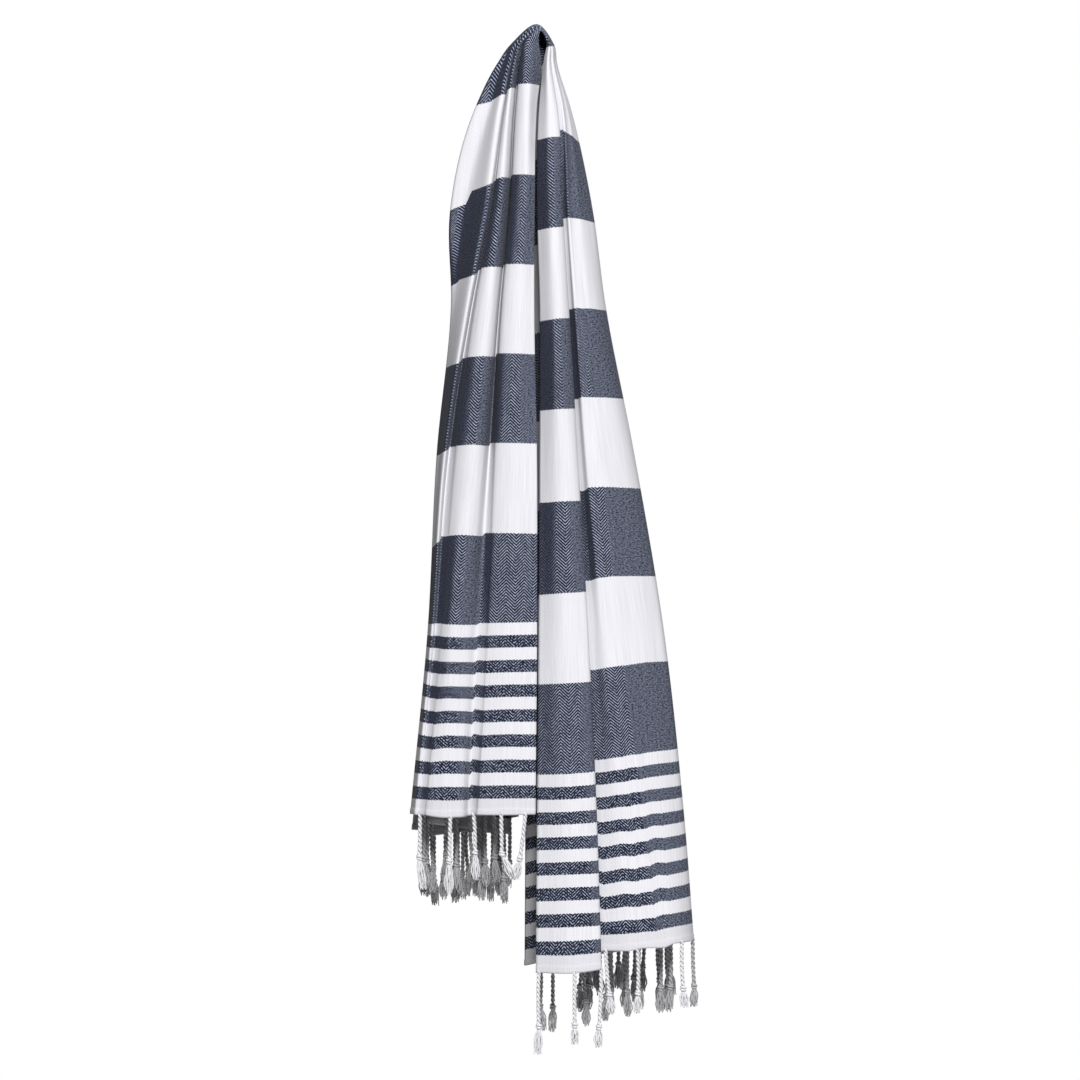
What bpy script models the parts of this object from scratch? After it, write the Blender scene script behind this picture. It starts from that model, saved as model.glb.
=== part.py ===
"""A striped hammam towel of thin cotton, hung over a wall peg.

The towel is one sheet of cloth.  It crosses the peg off centre, so one fall is short and one is long.
Its width is gathered into nine layers, one behind the other.  The front layer of each fall has the
rolls and valleys that show.  Each hem carries a fringe of knotted cords.

Axes: X to the right, Y towards the wall, Z up.  The origin is the hang point, at the top of the small
gap that the cloth leaves for the peg.  The tables are in millimetres; the meshes are in metres.
"""
import math

import bmesh
import bpy
import numpy as np
from mathutils import Matrix, Vector

MM = 0.001

# ---- driving dimensions, in millimetres ----
CLOTH_THICKNESS = 1.2
SHORT_HEM_DEPTH = 745.0      # below the hang point, at the front selvedge
LONG_HEM_DEPTH = 895.5
PIECE_GAP = 0.3              # between a hem and its fringe
FRINGE_HEADER = 4.0          # height of the strip that holds the cords
CORD_RADIUS = 2.0
CORD_LENGTH = 40.0
KNOT_RADIUS = 3.6
KNOT_LENGTH = 7.0
TUFT_RADIUS = 4.2
TUFT_LENGTH = 26.0
TASSEL_FLATNESS = 0.6        # depth of a tassel against its width

# ---- the folds ----
# Depths below the hang point at which the front folds are measured.
DEPTHS = (10, 28, 70, 171, 257, 400, 570, 743, 890)
# Depths at which the distance of a fold from the wall side is given.
RELIEF_DEPTHS = (28, 140, 257, 570, 800)

# One row for each line of the front layer, from the inner selvedge to the outer turn.
# x is where the line is at each of DEPTHS, y where it is at each of RELIEF_DEPTHS, and the drop is
# how much lower than the selvedge's the hem is there.
SHORT_FALL = (
    # name, kind, x, y, drop; a valley has the drop of its inner side and that of its outer side
    ("selvedge", "edge", (-4.1, -1.9, -6, -8.2, -8.6, -6, -5.8, -7.2, -8.4), (-19, -31, -37, -39, -38), 0),
    ("inner roll", "crest", (-11, -13, -15, -18, -24, -29, -33, -36, -38), (-27, -37, -44, -44, -42), 0.5),
    ("deep valley", "valley", (-19, -23, -27, -33, -41, -51, -62, -70, -74), (-13.5, -12, -20, -33, -30), (0.5, 2.5)),
    ("outer roll", "crest", (-22, -27, -33, -41, -52, -67, -85, -95, -101), (-24, -34.5, -42, -43, -41), 3),
    ("side valley", "valley", (-23.7, -29, -36.5, -50.5, -67, -89.5, -102.5, -118, -130), (-16, -22, -23, -30, -32), (1, 1)),
    ("side roll", "crest", (-26.3, -32.5, -41, -54.5, -71, -93, -105.5, -121, -133), (-18.5, -32, -34, -33, -32), 0.5),
    ("side edge", "crest", (-28, -37, -50.5, -74.5, -83.3, -98, -107.5, -123.5, -136), (-13, -14, -15, -22, -26), 0.5),
    ("outer turn", "edge", (-29.5, -42, -63, -88, -87, -100.5, -109, -125, -138), (-10.5, -9.5, -10, -14, -20), 1),
)
LONG_FALL = (
    ("selvedge", "edge", (3.8, 1, -3.3, -5.2, -3, -3, -4, -5.4, -6.6), (-19, -27.5, -32, -34, -35), 0),
    ("inner roll", "crest", (5.6, 4.6, 5.7, 8.6, 12.4, 17, 20, 24, 26), (-26, -37, -44, -46, -46), 0),
    ("pleat", "valley", (7, 8, 15.5, 20.6, 26, 34.5, 44.7, 52.8, 57.5), (-20, -25, -27, -29, -30), (-4, -21)),
    ("broad roll", "crest", (8, 9.6, 18, 24, 30, 41, 57, 72, 82), (-19, -29, -35.5, -40, -41.5), -21),
    ("crease", "valley", (8.6, 10.4, 20, 28, 36.5, 55, 73, 94, 109), (-16.5, -26, -33, -37.3, -37), (-23.5, -23.5)),
    ("side roll", "crest", (9.1, 11.4, 22.3, 35, 44, 68, 94, 112, 126), (-14.5, -23, -29, -27, -30), -27),
    ("side edge", "crest", (9.3, 12, 24, 42, 52.5, 79, 106, 125, 138), (-12.5, -17, -22, -19.5, -22), -28),
    ("outer turn", "edge", (9.5, 12.4, 25, 46.6, 58, 85.5, 114, 133, 144.5), (-11, -12.5, -14, -13, -14), -28),
)
# How far each valley of the long fall runs behind the roll inside it, as a share of the way to its crest.
TUCKS = {"pleat": 0.7, "crease": 0.0}
# How far the shoulders of each valley are spread into a soft dip, at each of RELIEF_DEPTHS.
SHORT_SOFTNESS = {"deep valley": (0, 0, 0.1, 0.7, 0.3), "side valley": (0, 0, 0.3, 0.8, 0.5)}
LONG_SOFTNESS = {"pleat": (0, 0, 0, 0, 0), "crease": (0.5, 1, 1, 1, 1)}
TUCK_WAY = 40.0              # way past the crown after which a tuck is full
TUCK_RADIUS = 2.2            # half the depth of the turn inside a tuck
BOTTOM_RADIUS = 1.4          # half the width of a valley's bottom
BOTTOM_SHARE = 0.15          # the same as a share of the way to the next crest, where that is less
SIDE_DROP = 0.36             # a line on a roll's side, as a share of the drop from its shoulder
SHOULDER_GAP = 2.6           # from a valley to the shoulders that drop into it, at most
SHOULDER_RISE = 0.72         # how much of the drop is still to come at a shoulder
NARROW_SHARE = 0.3           # the same as a share of the way to the crest, where that is less
SOFT_SHARE = 0.5             # the same in a soft dip
SOFT_RISE = 0.5              # the same in a soft dip
TUCK_RISES = (0.55, 0.42)    # the same at a full tuck, on its inner side and its outer side
# How much of the change from a valley's inner side to its outer side is done at each of its five lines.
VALLEY_SHARES = (0, 0, 0.45, 0.55, 1)

# Each layer behind the front one ends in a turn, and the last one in the back selvedge.  One row for
# each: the drops of the short and the long hem there, and how many cords hang from the layer.
TURNS = (
    # name             drops       cords
    ("first inner",   (2, -4),     4),
    ("second outer",  (10, -26),   3),
    ("second inner",  (22, -24),   4),
    ("third outer",   (18, -30),   3),
    ("third inner",   (6, -34),    4),
    ("fourth outer",  (26, -38),   3),
    ("fourth inner",  (16, -44),   4),
    ("back selvedge", (22, -40),   4),
)
FRONT_CORDS = {"short": 6, "long": 7}
# An outer turn's x is a share of the front layer's outline, on the short fall and on the long one.
OUTER_TURNS = {
    "second outer": (0.93, 0.93),
    "third outer": (0.98, 0.86),
    "fourth outer": (0.90, 0.94),
    "back selvedge": (0.80, 0.72),
}
# An inner turn's x at each of INNER_DEPTHS, down the short fall and down the long one.  The first one of
# the long fall reaches past the middle and closes the slit between the falls; the peg ends behind it.
INNER_DEPTHS = (10, 28, 70, 171, 890)
INNER_TURNS = {
    "first inner": ((-12, -13, -16, -22, -46), (-7, -6.5, -9, -11, -16)),
    "second inner": ((-4.6, -5, -9, -18, -34), (4.4, 4.5, 2, 6, 30)),
    "third inner": ((-4.6, -5, -8, -16, -26), (4.4, 4.5, 1, 4, 40)),
    "fourth inner": ((-4.8, -5.5, -9, -19, -40), (4.6, 5, 3, 8, 46)),
}
# x and z of the inner turns at the crown: the first one passes in front of the peg, the others over it.
FIRST_INNER_CROWN = (-9.5, -2.5)
INNER_CROWN = (-1.2, 1)
# At the crown and at each of RELIEF_DEPTHS: the y of the layer behind the front one, and the spacing.
SECOND_LAYER_Y = (-5, -5.5, -6.2, -7, -7, -7)
LAYER_SPACING = (3.6, 3.9, 4.8, 5.8, 6.0, 6.0)
LAYER_WAVE = 2.0             # how far a layer bends to and fro, where it is wide
BACK_WAVE = 8.0              # the same for the last layer, which has nothing behind it
FULL_WAVE_WIDTH = 70.0
WAVE_SHARES = (0.3, 0.7)     # where on a layer the bends are
# The side to which a layer bends at its start, at the two WAVE_SHARES and at its end.
LAYER_BENDS = ((0, -1, 1, 0), (0, 1, -1, 0))
BACK_BENDS = (0, 1, 0, 0)

# The crown, where the gathered cloth crosses the peg: first the inner selvedge, then the outer turn.
CROWN_X = (-2, -6.5)
CROWN_Z = (0.9, 8.4)
CROWN_Y = (-23, -8)
CROWN_REACH = 8.0            # added to a depth to get the way along the cloth from the crown
PAST_HEM = 60.0              # the lines run on past the lower hem, for the fringe

# ---- mesh density ----
# Cells between one line of a section and the next.
FRONT_CELLS = (3, 2, 1, 1, 1, 1, 2, 2, 1, 1, 1, 1, 1, 1, 1, 2)
LAYER_CELLS = (1, 2, 1, 2)
# Ways down from the crown, as shares of a fall, where the rows of the cloth are.
ROW_SHARES = (0.008, 0.017, 0.028, 0.042, 0.061, 0.087, 0.12, 0.162, 0.212, 0.27,
              0.337, 0.412, 0.495, 0.585, 0.68, 0.785, 0.89, 1.0)
WAY_SAMPLES = 241


def smooth_through(knots, values, places):
    """A smooth curve through values at knots, read at places; it runs on straight past both ends."""
    knots = np.asarray(knots, float)
    values = np.asarray(values, float)
    steps = np.diff(knots)
    rises = np.diff(values) / steps
    slopes = np.empty(len(values))
    slopes[0] = rises[0]
    slopes[-1] = rises[-1]
    slopes[1:-1] = (rises[:-1] * steps[1:] + rises[1:] * steps[:-1]) / (steps[:-1] + steps[1:])
    inside = np.clip(places, knots[0], knots[-1])
    spot = np.clip(np.searchsorted(knots, inside, side="right") - 1, 0, len(steps) - 1)
    width = steps[spot]
    u = (inside - knots[spot]) / width
    start, end = values[spot], values[spot + 1]
    curve = ((2 * u**3 - 3 * u**2 + 1) * start + (u**3 - 2 * u**2 + u) * slopes[spot] * width
             + (3 * u**2 - 2 * u**3) * end + (u**3 - u**2) * slopes[spot + 1] * width)
    return curve + np.where(places < knots[0], places - knots[0], 0) * slopes[0] \
        + np.where(places > knots[-1], places - knots[-1], 0) * slopes[-1]


def ways():
    """Ways along the cloth, past both hems: below 0 is the short fall, 0 the crown, above 0 the long fall."""
    reach = LONG_HEM_DEPTH + PAST_HEM
    even = np.linspace(-1, 1, WAY_SAMPLES)
    return np.sign(even) * reach * (0.25 * np.abs(even) + 0.75 * even**2)


WAYS = ways()


def knots_at(depths):
    return [-depth - CROWN_REACH for depth in reversed(depths)] + [0] + [d + CROWN_REACH for d in depths]


WAY_KNOTS = knots_at(DEPTHS)


def along(short, crown, long, knots=WAY_KNOTS):
    """A value over all the ways, from its values down the short fall, at the crown and down the long one."""
    return smooth_through(knots, list(reversed(short)) + [crown] + list(long), WAYS)


def line(x, y, crown_z):
    """A line along the cloth as an array of points."""
    falls = [-depth for depth in DEPTHS]
    return np.stack([x, y, along(falls, crown_z, falls)], axis=1)


def mix(first, second, share):
    return first + share * (second - first)


def front_lines():
    """The lines of the front layer, with a shoulder on each side of each valley."""
    count = len(SHORT_FALL)
    mains = []
    for place, (short, long) in enumerate(zip(SHORT_FALL, LONG_FALL)):
        share = place / (count - 1)
        x = along(short[2], mix(*CROWN_X, share), long[2])
        y = along(short[3], mix(*CROWN_Y, share), long[3], knots_at(RELIEF_DEPTHS))
        mains.append(line(x, y, mix(*CROWN_Z, share)))
    lines = []
    past_crown = np.clip(WAYS / TUCK_WAY, 0, 1)
    for place, points in enumerate(mains):
        if SHORT_FALL[place][1] != "valley":
            lines.append(points)
            continue
        inner, outer = mains[place - 1], mains[place + 1]
        tuck = TUCKS[LONG_FALL[place][0]] * past_crown
        soft = along(SHORT_SOFTNESS[SHORT_FALL[place][0]], 0, LONG_SOFTNESS[LONG_FALL[place][0]],
                     knots_at(RELIEF_DEPTHS))
        rise = mix(SHOULDER_RISE, SOFT_RISE, soft)
        bottom = points.copy()
        bottom[:, 0] += tuck * (inner[:, 0] - points[:, 0])
        top = shoulder(points, inner, soft, mix(rise, TUCK_RISES[0], tuck))
        floor = rounded(bottom, tuck, inner, 1)
        side = mix(top, floor, SIDE_DROP)
        side[:, 0] = mix(top[:, 0], floor[:, 0], SIDE_DROP * mix(0.3 * (1 - tuck), 1, soft))
        lines += [top, side, floor, rounded(bottom, tuck, outer, -1),
                  shoulder(points, outer, soft, mix(rise, TUCK_RISES[1], tuck))]
    return lines


def hem_drops():
    """How much lower than at the selvedge each hem is at each line of the front layer."""
    drops = []
    for short, long in zip(SHORT_FALL, LONG_FALL):
        if short[1] != "valley":
            drops.append((short[4], long[4]))
            continue
        drops += [(mix(*short[4], share), mix(*long[4], share)) for share in VALLEY_SHARES]
    return drops


def rounded(bottom, tuck, crest, side):
    """One of the two lines that round a valley's bottom; in a tuck one lies in front of the other."""
    apart = np.linalg.norm(crest - bottom, axis=1)
    share = np.minimum(BOTTOM_SHARE, BOTTOM_RADIUS / apart) * (1 - tuck)
    points = mix(bottom, crest, share[:, None])
    points[:, 1] -= side * tuck * TUCK_RADIUS
    return points


def shoulder(valley, crest, soft, rise):
    """The line where a roll starts to drop into a valley; soft spreads it out and rise is its height."""
    offset = crest[:, 0] - valley[:, 0]
    gap = mix(np.minimum(SHOULDER_GAP, NARROW_SHARE * np.abs(offset)), SOFT_SHARE * np.abs(offset), soft)
    points = valley + NARROW_SHARE * (crest - valley)
    points[:, 0] = valley[:, 0] + np.sign(offset) * gap
    points[:, 1] = mix(valley[:, 1], crest[:, 1], rise)
    return points


def turn_line(name, front):
    """The x of a turn over all the ways, and its height at the crown."""
    if name in OUTER_TURNS:
        short, long = OUTER_TURNS[name]
        others = len(DEPTHS) - 1
        share = along([1] + [short] * others, 1, [1] + [long] * others)
        return mix(front[0][:, 0], front[-1][:, 0], share), CROWN_Z[1]
    crown_x, crown_z = FIRST_INNER_CROWN if name == "first inner" else INNER_CROWN
    short, long = INNER_TURNS[name]
    return along(short, crown_x, long, knots_at(INNER_DEPTHS)), crown_z


def layer_y(number):
    """The middle distance of a layer over all the ways; the first one behind the front is number 0."""
    values = [second + number * spacing for second, spacing in zip(SECOND_LAYER_Y, LAYER_SPACING)]
    return along(values[1:], values[0], values[1:], knots_at(RELIEF_DEPTHS))


def section_lines():
    """All the lines along the cloth in order, with the two hems' drops and the cells after each."""
    front = front_lines()
    lines = list(front)
    drops = hem_drops()
    start_x, start_crown, start_drops = front[-1][:, 0], CROWN_Z[1], drops[-1]
    for number, (name, end_drops, cords) in enumerate(TURNS):
        end_x, end_crown = turn_line(name, front)
        is_back = number == len(TURNS) - 1
        width = np.abs(end_x - start_x)
        wave = (BACK_WAVE if is_back else LAYER_WAVE) * np.minimum(1, (width / FULL_WAVE_WIDTH) ** 2)
        bends = BACK_BENDS if is_back else LAYER_BENDS[number % 2]
        for share, bend in zip((0, *WAVE_SHARES, 1), bends):
            lines.append(line(mix(start_x, end_x, share), layer_y(number) + bend * wave,
                              mix(start_crown, end_crown, share)))
            drops.append([mix(*pair, share) for pair in zip(start_drops, end_drops)])
        start_x, start_crown, start_drops = end_x, end_crown, end_drops
    cells = (FRONT_CELLS + LAYER_CELLS * len(TURNS))[:len(lines) - 1]
    return lines, drops, cells


def fold_between(before, start, end, after, share):
    """A point on the smooth curve that runs through four lines, for each way along the cloth."""
    gaps = [np.sqrt(np.linalg.norm(second - first, axis=1)) + 1e-6
            for first, second in ((before, start), (start, end), (end, after))]
    t0 = np.zeros(len(gaps[0]))
    t1 = t0 + gaps[0]
    t2 = t1 + gaps[1]
    t3 = t2 + gaps[2]
    t = mix(t1, t2, share)

    def blend(a, b, ta, tb):
        return a + (b - a) * ((t - ta) / (tb - ta))[:, None]

    a1, a2, a3 = blend(before, start, t0, t1), blend(start, end, t1, t2), blend(end, after, t2, t3)
    b1, b2 = blend(a1, a2, t0, t2), blend(a2, a3, t1, t3)
    return blend(b1, b2, t1, t2)


def columns():
    """The cloth's columns, from the front selvedge to the back one, and each one's hem depths."""
    lines, drops, cells = section_lines()
    ahead = [2 * lines[0] - lines[1]] + lines + [2 * lines[-1] - lines[-2]]
    points, hems = [], []
    for place, count in enumerate(cells):
        for cell in range(count):
            share = cell / count
            points.append(fold_between(*ahead[place:place + 4], share))
            hems.append([mix(*pair, share) for pair in zip(drops[place], drops[place + 1])])
    points.append(lines[-1])
    hems.append(drops[-1])
    return points, np.array(hems) + (SHORT_HEM_DEPTH, LONG_HEM_DEPTH)


def lengths_from_crown(points):
    """The length of cloth from the crown to each point of a column, below 0 on the short fall."""
    steps = np.linalg.norm(np.diff(points, axis=0), axis=1)
    lengths = np.concatenate([[0], np.cumsum(steps)])
    return lengths - lengths[len(points) // 2]


class Cloth:
    """The folded cloth: where each point of each column is, by its length from the crown."""

    def __init__(self):
        self.columns, hems = columns()
        self.lengths = [lengths_from_crown(points) for points in self.columns]
        middle = WAY_SAMPLES // 2
        self.ends = {"short": [], "long": []}
        for points, lengths, (short, long) in zip(self.columns, self.lengths, hems):
            z = points[:, 2]
            self.ends["short"].append(np.interp(-short, z[:middle], lengths[:middle]))
            self.ends["long"].append(np.interp(long, -z[middle:], lengths[middle:]))

    def point(self, column, length):
        points, lengths = self.columns[column], self.lengths[column]
        return [np.interp(length, lengths, points[:, axis]) for axis in range(3)]

    def across(self, fall, past):
        """The points of the columns that lie past the hem, each by its own way."""
        sign = -1 if fall == "short" else 1
        return np.array([self.point(place, end + sign * way)
                         for place, (end, way) in enumerate(zip(self.ends[fall], past))])

    def gaps(self, fall):
        """The way from the hem to its fringe for each column, longer where the hem runs up or down."""
        hem = self.across(fall, np.zeros(len(self.columns)))
        slopes = np.abs(np.diff(hem[:, 2])) / np.linalg.norm(np.diff(hem[:, :2], axis=0), axis=1)
        return PIECE_GAP * (1 + np.maximum(np.append(slopes, 0), np.insert(slopes, 0, 0)))


def grid_object(name, rows, collection):
    """A sheet from rows of points in millimetres, started from Blender's own grid."""
    across, down = len(rows[0]), len(rows)
    bpy.ops.mesh.primitive_grid_add(x_subdivisions=across - 1, y_subdivisions=down - 1, size=2)
    sheet = bpy.context.active_object
    sheet.name = name
    sheet.data.name = name
    for vertex in sheet.data.vertices:
        column = round((vertex.co.x + 1) / 2 * (across - 1))
        row = round((vertex.co.y + 1) / 2 * (down - 1))
        vertex.co = [value * MM for value in rows[row][column]]
    for holder in list(sheet.users_collection):
        holder.objects.unlink(sheet)
    collection.objects.link(sheet)
    return sheet


def thicken(sheet):
    solidify = sheet.modifiers.new("thickness", "SOLIDIFY")
    solidify.thickness = CLOTH_THICKNESS * MM
    solidify.offset = 0


def material(name, colour, roughness):
    made = bpy.data.materials.new(name)
    made.use_nodes = True
    shader = made.node_tree.nodes["Principled BSDF"]
    shader.inputs["Base Color"].default_value = (*colour, 1)
    shader.inputs["Roughness"].default_value = roughness
    shader.inputs["Metallic"].default_value = 0
    made.diffuse_color = (*colour, 1)
    return made


def make_cloth(cloth, collection):
    rows = []
    for share in [-share for share in reversed(ROW_SHARES)] + [0] + list(ROW_SHARES):
        ends = cloth.ends["short" if share < 0 else "long"]
        rows.append([cloth.point(place, abs(share) * end) for place, end in enumerate(ends)])
    sheet = grid_object("cloth", rows, collection)
    thicken(sheet)
    sheet.data.materials.append(material("woven_cotton", (0.33, 0.35, 0.42), 0.95))
    return sheet


def tassel_profile():
    """Way down and half width at each ring of a tassel: cord, knot and tuft."""
    knot_top = CORD_LENGTH
    knot_end = knot_top + KNOT_LENGTH
    return (
        (0, CORD_RADIUS),
        (0.5 * CORD_LENGTH, CORD_RADIUS),
        (knot_top, CORD_RADIUS),
        (knot_top + 0.5 * KNOT_LENGTH, KNOT_RADIUS),
        (knot_end, 0.7 * KNOT_RADIUS),
        (knot_end + 0.6 * TUFT_LENGTH, TUFT_RADIUS),
        (knot_end + TUFT_LENGTH, 0.75 * TUFT_RADIUS),
    )


def sway(number, phase):
    """A steady but uneven value between -1 and 1 for each tassel."""
    return math.sin(2.4 * number + phase) * math.cos(1.3 * number + 2 * phase)


def add_tassel(mesh, root, lean, length_share):
    """One four-sided tassel hanging from root; lean is how far its end stands off, in x and y."""
    profile = tassel_profile()
    total = profile[-1][0]
    start = Matrix.LocRotScale(Vector(root) * MM, None, (1, TASSEL_FLATNESS, 1))
    ring = bmesh.ops.create_circle(mesh, cap_ends=True, segments=4, radius=CORD_RADIUS * MM,
                                   matrix=start)["verts"]
    face = ring[0].link_faces[0]
    for (above, above_radius), (down, radius) in zip(profile, profile[1:]):
        out = bmesh.ops.extrude_face_region(mesh, geom=[face])["geom"]
        if above > 0:
            bmesh.ops.delete(mesh, geom=[face], context="FACES_ONLY")
        ring = [item for item in out if isinstance(item, bmesh.types.BMVert)]
        face = [item for item in out if isinstance(item, bmesh.types.BMFace)][0]
        bend = (down / total) ** 2 - (above / total) ** 2
        move = Vector((lean[0] * bend, lean[1] * bend, (above - down) * length_share)) * MM
        bmesh.ops.translate(mesh, verts=ring, vec=move)
        middle = face.calc_center_median()
        wider = radius / above_radius
        bmesh.ops.scale(mesh, verts=ring, vec=(wider, wider, 1), space=Matrix.Translation(-middle))


def tassel_roots(middle, fall):
    """Where the cords start: spread over each layer of the hem, and so clear of its turns."""
    counts = [FRONT_CORDS[fall]] + [cords for name, drops, cords in TURNS]
    ends = [0, sum(FRONT_CELLS)]
    ends += [ends[-1] + sum(LAYER_CELLS) * (number + 1) for number in range(len(TURNS))]
    roots = []
    for count, first, last in zip(counts, ends, ends[1:]):
        layer = middle[first:last + 1]
        ways = np.concatenate([[0], np.cumsum(np.linalg.norm(np.diff(layer, axis=0), axis=1))])
        for number in range(count):
            way = ways[-1] * (number + 0.5) / count
            roots.append([np.interp(way, ways, layer[:, axis]) for axis in range(3)])
    return roots


def make_fringe(name, cloth, fall, phase, collection):
    """The cords of one hem with their knots and tufts, fused into a strip just past the hem."""
    gaps = cloth.gaps(fall)
    top = cloth.across(fall, gaps)
    bottom = cloth.across(fall, gaps + FRINGE_HEADER)
    strip = grid_object(name, [top, bottom], collection)
    thicken(strip)
    mesh = bmesh.new()
    for number, root in enumerate(tassel_roots((top + bottom) / 2, fall)):
        lean = (3.0 * sway(number, phase), 0.5 * sway(number, phase + 1))
        add_tassel(mesh, root, lean, 1 + 0.06 * sway(number, phase + 2))
    bmesh.ops.recalc_face_normals(mesh, faces=mesh.faces[:])
    tassels = bpy.data.objects.new(name + "_cords", bpy.data.meshes.new(name + "_cords"))
    mesh.to_mesh(tassels.data)
    mesh.free()
    helpers.objects.link(tassels)
    tassels.hide_render = True
    tassels.display_type = "WIRE"
    join = strip.modifiers.new("cords", "BOOLEAN")
    join.operation = "UNION"
    join.object = tassels
    strip.data.materials.append(material(name + "_yarn", (0.86, 0.86, 0.88), 0.95))
    return strip


for old in list(bpy.data.objects):
    bpy.data.objects.remove(old)
towel = bpy.data.collections.new("hammam_towel")
helpers = bpy.data.collections.new("cutters")
for group in (towel, helpers):
    bpy.context.scene.collection.children.link(group)

folded = Cloth()
make_cloth(folded, towel)
make_fringe("fringe_short_end", folded, "short", 0.4, towel)
make_fringe("fringe_long_end", folded, "long", 1.9, towel)
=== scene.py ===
import math

import bpy
import numpy as np
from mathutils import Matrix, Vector


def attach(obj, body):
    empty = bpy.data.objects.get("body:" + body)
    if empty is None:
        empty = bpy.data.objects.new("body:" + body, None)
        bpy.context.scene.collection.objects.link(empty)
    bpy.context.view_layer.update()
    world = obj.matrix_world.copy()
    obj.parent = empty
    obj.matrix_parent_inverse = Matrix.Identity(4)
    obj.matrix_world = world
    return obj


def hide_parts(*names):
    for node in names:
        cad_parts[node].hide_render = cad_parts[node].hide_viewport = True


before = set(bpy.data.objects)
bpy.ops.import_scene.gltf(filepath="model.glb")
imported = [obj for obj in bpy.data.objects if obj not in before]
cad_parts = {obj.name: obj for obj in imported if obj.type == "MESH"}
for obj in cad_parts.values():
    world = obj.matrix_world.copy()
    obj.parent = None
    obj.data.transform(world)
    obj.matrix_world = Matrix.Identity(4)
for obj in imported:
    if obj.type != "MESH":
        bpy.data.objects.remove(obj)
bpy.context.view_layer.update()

MM = 0.001

# ---- the cloth as it was cut, in millimetres ----
CLOTH_WIDTH = 1000.0
CLOTH_LENGTH = 1656.0
CLOTH_THICKNESS = 1.2
HEM_FOLD = 5.5               # the hem is turned over this far, so it is thicker there
HEM_THICKNESS = 2.0
PLAIN_HEM = 15.0             # the white edge outside the first narrow stripe
NARROW_STRIPE = 12.0
BORDER = 183.0               # from a hem to the first wide stripe
WIDE_STRIPE = 86.0

# ---- driving dimensions of the hanging cloth, in millimetres ----
SHORT_HEM_DEPTH = 745.0      # below the hang point, at the front selvedge
LONG_HEM_DEPTH = 895.5

# ---- the folds ----
# Depths below the hang point at which the front folds are measured.
DEPTHS = (10, 28, 70, 171, 257, 400, 570, 743, 890)
# Depths at which the distance of a fold from the wall side is given.
RELIEF_DEPTHS = (28, 140, 257, 570, 800)

# One row for each line of the front layer, from the inner selvedge to the outer turn.
# x is where the line is at each of DEPTHS, y where it is at each of RELIEF_DEPTHS, and the drop is
# how much lower than the selvedge's the hem is there.
SHORT_FALL = (
    # name, kind, x, y, drop; a valley has the drop of its inner side and that of its outer side
    ("selvedge", "edge",
     (-4.1, -1.9, -6, -8.2, -8.6, -6, -5.8, -7.2, -8.4), (-19, -31, -37, -39, -38), 0),
    ("inner roll", "crest",
     (-11, -13, -15, -18, -24, -29, -33, -36, -38), (-27, -37, -44, -44, -42), 0.5),
    ("deep valley", "valley",
     (-19, -23, -27, -33, -41, -51, -62, -70, -74), (-13.5, -12, -20, -33, -30), (0.5, 2.5)),
    ("outer roll", "crest",
     (-22, -27, -33, -41, -52, -67, -85, -95, -101), (-24, -34.5, -42, -43, -41), 3),
    ("side valley", "valley",
     (-23.7, -29, -36.5, -50.5, -67, -89.5, -102.5, -118, -130), (-16, -22, -23, -30, -32), (1, 1)),
    ("side roll", "crest",
     (-26.3, -32.5, -41, -54.5, -71, -93, -105.5, -121, -133), (-18.5, -32, -34, -33, -32), 0.5),
    ("side edge", "crest",
     (-28, -37, -50.5, -74.5, -83.3, -98, -107.5, -123.5, -136), (-13, -14, -15, -22, -26), 0.5),
    ("outer turn", "edge",
     (-29.5, -42, -63, -88, -87, -100.5, -109, -125, -138), (-10.5, -9.5, -10, -14, -20), 1),
)
LONG_FALL = (
    ("selvedge", "edge",
     (3.8, 1, -3.3, -5.2, -3, -3, -4, -5.4, -6.6), (-19, -27.5, -32, -34, -35), 0),
    ("inner roll", "crest",
     (5.6, 4.6, 5.7, 8.6, 12.4, 17, 20, 24, 26), (-26, -37, -44, -46, -46), 0),
    ("pleat", "valley",
     (7, 8, 15.5, 20.6, 26, 34.5, 44.7, 52.8, 57.5), (-20, -25, -27, -29, -30), (-4, -21)),
    ("broad roll", "crest",
     (8, 9.6, 18, 24, 30, 41, 57, 72, 82), (-19, -29, -35.5, -40, -41.5), -21),
    ("crease", "valley",
     (8.6, 10.4, 20, 28, 36.5, 55, 73, 94, 109), (-16.5, -26, -33, -37.3, -37), (-23.5, -23.5)),
    ("side roll", "crest",
     (9.1, 11.4, 22.3, 35, 44, 68, 94, 112, 126), (-14.5, -23, -29, -27, -30), -27),
    ("side edge", "crest",
     (9.3, 12, 24, 42, 52.5, 79, 106, 125, 138), (-12.5, -17, -22, -19.5, -22), -28),
    ("outer turn", "edge",
     (9.5, 12.4, 25, 46.6, 58, 85.5, 114, 133, 144.5), (-11, -12.5, -14, -13, -14), -28),
)
# How far each valley of the long fall runs behind the roll inside it, as a share of the way to its crest.
TUCKS = {"pleat": 0.7, "crease": 0.0}
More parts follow.
